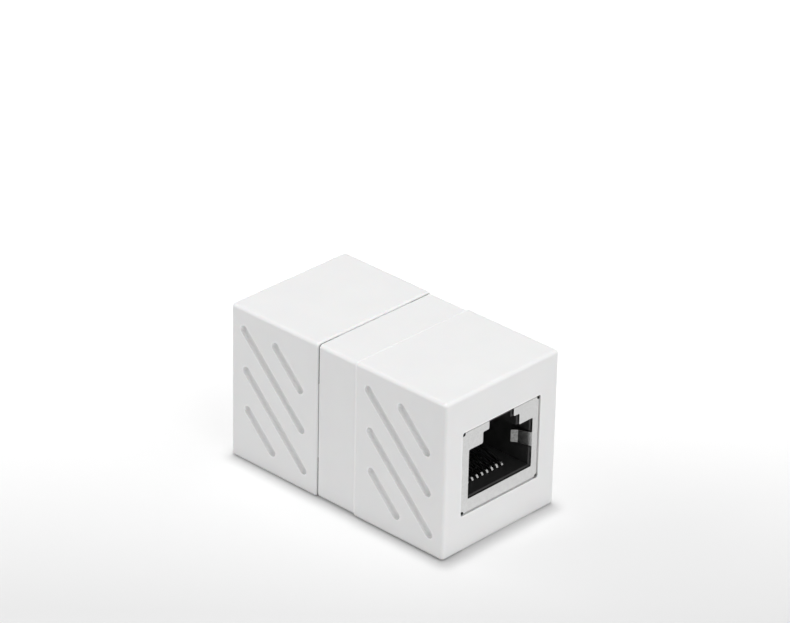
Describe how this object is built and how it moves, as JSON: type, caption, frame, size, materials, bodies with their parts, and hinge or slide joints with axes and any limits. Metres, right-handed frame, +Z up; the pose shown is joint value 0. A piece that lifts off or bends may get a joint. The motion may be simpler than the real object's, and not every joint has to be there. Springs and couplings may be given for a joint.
{
  "type": "rj45 inline coupler",
  "caption": "White inline coupler that joins two network patch leads end to end through shielded 8P8C jacks in a grooved two-part housing.",
  "frame": {"origin": "middle of the underside", "axes": "+Y along the coupler from the front jack to the rear jack, +Z up, latch side of both jacks upwards"},
  "size_m": [0.022, 0.04, 0.0237],
  "materials": {
    "housing": "fine satin moulded ABS",
    "shield": "nickel-plated stamped sheet",
    "insulator": "black glass-filled PBT",
    "contact": "bright plated spring strip",
    "board": "glass epoxy with solder resist"
  },
  "bodies": {
    "root": {"front_shell": "housing", "rear_shell": "housing", "circuit_board": "board", "front_shield": "shield", "front_insulator": "insulator", "front_carrier": "insulator", "rear_shield": "shield", "rear_insulator": "insulator", "rear_carrier": "insulator", "front_contact_1": "contact", "front_contact_2": "contact", "front_contact_3": "contact", "front_contact_4": "contact", "front_contact_5": "contact", "front_contact_6": "contact", "front_contact_7": "contact", "front_contact_8": "contact", "rear_contact_1": "contact", "rear_contact_2": "contact", "rear_contact_3": "contact", "rear_contact_4": "contact", "rear_contact_5": "contact", "rear_contact_6": "contact", "rear_contact_7": "contact", "rear_contact_8": "contact"}
  },
  "joints": []
}
